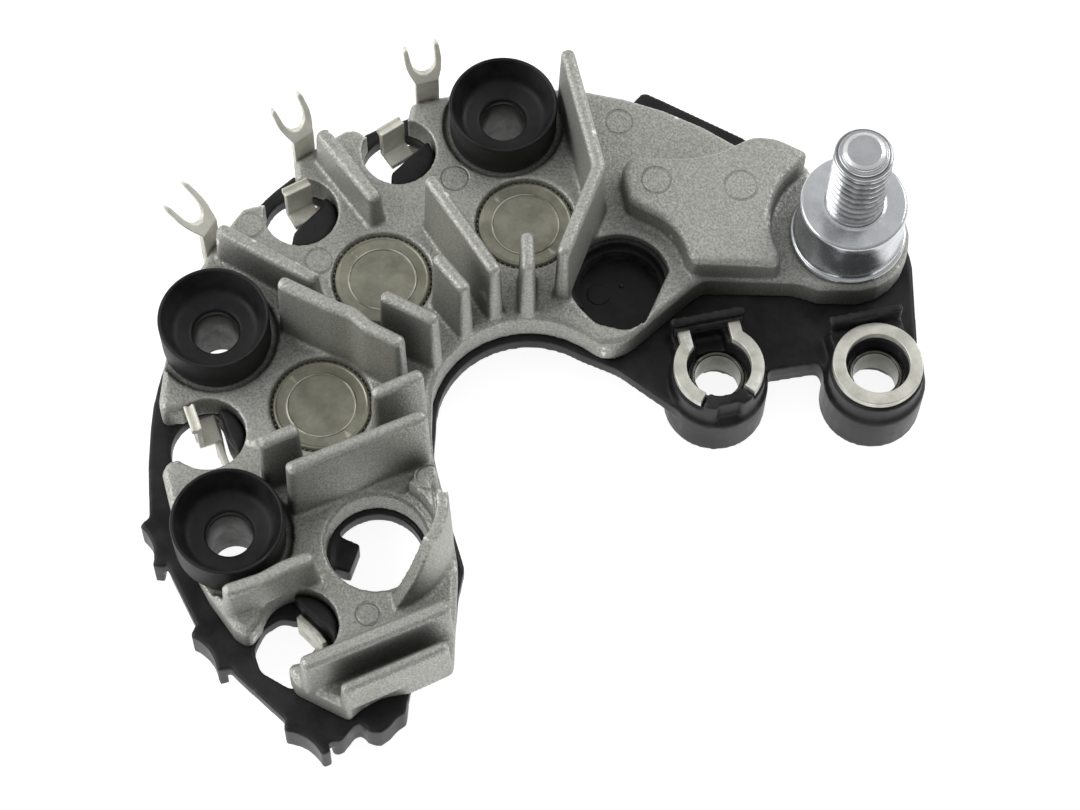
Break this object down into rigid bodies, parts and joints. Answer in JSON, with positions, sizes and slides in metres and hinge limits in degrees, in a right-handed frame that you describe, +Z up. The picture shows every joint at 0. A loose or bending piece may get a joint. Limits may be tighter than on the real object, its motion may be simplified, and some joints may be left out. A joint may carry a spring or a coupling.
{
  "type": "alternator rectifier",
  "caption": "Alternator rectifier: finned die-cast heat sink with press-fit diodes on a black moulded terminal carrier, with an output stud, insulated mounting cups and forked terminals.",
  "frame": {"origin": "middle of the footprint, at the height of the terminal bosses' undersides", "axes": "+Z up along the alternator's axis, towards the fins; +X towards the output stud's arm; +Y away from the open side of the C"},
  "size_m": [0.1044, 0.099, 0.0364],
  "materials": {
    "cast_aluminium": "fine cast grain, dull silver grey",
    "black_plastic": "moulded, slightly glossy black",
    "nickel_plate": "dull nickel plate",
    "tin_plate": "satin tin plate",
    "zinc_steel": "bright zinc plate",
    "sleeve_steel": "dull olive passivated steel",
    "resin_seal": "dark potting resin"
  },
  "bodies": {
    "root": {"boss_sleeve_1": "sleeve_steel", "boss_sleeve_2": "sleeve_steel", "bushing_1": "black_plastic", "bushing_2": "black_plastic", "bushing_3": "black_plastic", "diode_cup_1": "nickel_plate", "diode_cup_2": "nickel_plate", "diode_cup_3": "nickel_plate", "diode_lead_1": "tin_plate", "diode_lead_2": "tin_plate", "diode_lead_3": "tin_plate", "diode_seal_1": "resin_seal", "diode_seal_2": "resin_seal", "diode_seal_3": "resin_seal", "heat_sink": "cast_aluminium", "mounting_sleeve_1": "sleeve_steel", "mounting_sleeve_2": "sleeve_steel", "mounting_sleeve_3": "sleeve_steel", "neutral_conductor": "tin_plate", "output_stud": "zinc_steel", "phase_conductor_1": "tin_plate", "phase_conductor_2": "tin_plate", "phase_conductor_3": "tin_plate", "regulator_terminal": "tin_plate", "ring_terminal": "tin_plate", "stud_collar": "zinc_steel", "terminal_carrier": "black_plastic"}
  },
  "joints": []
}
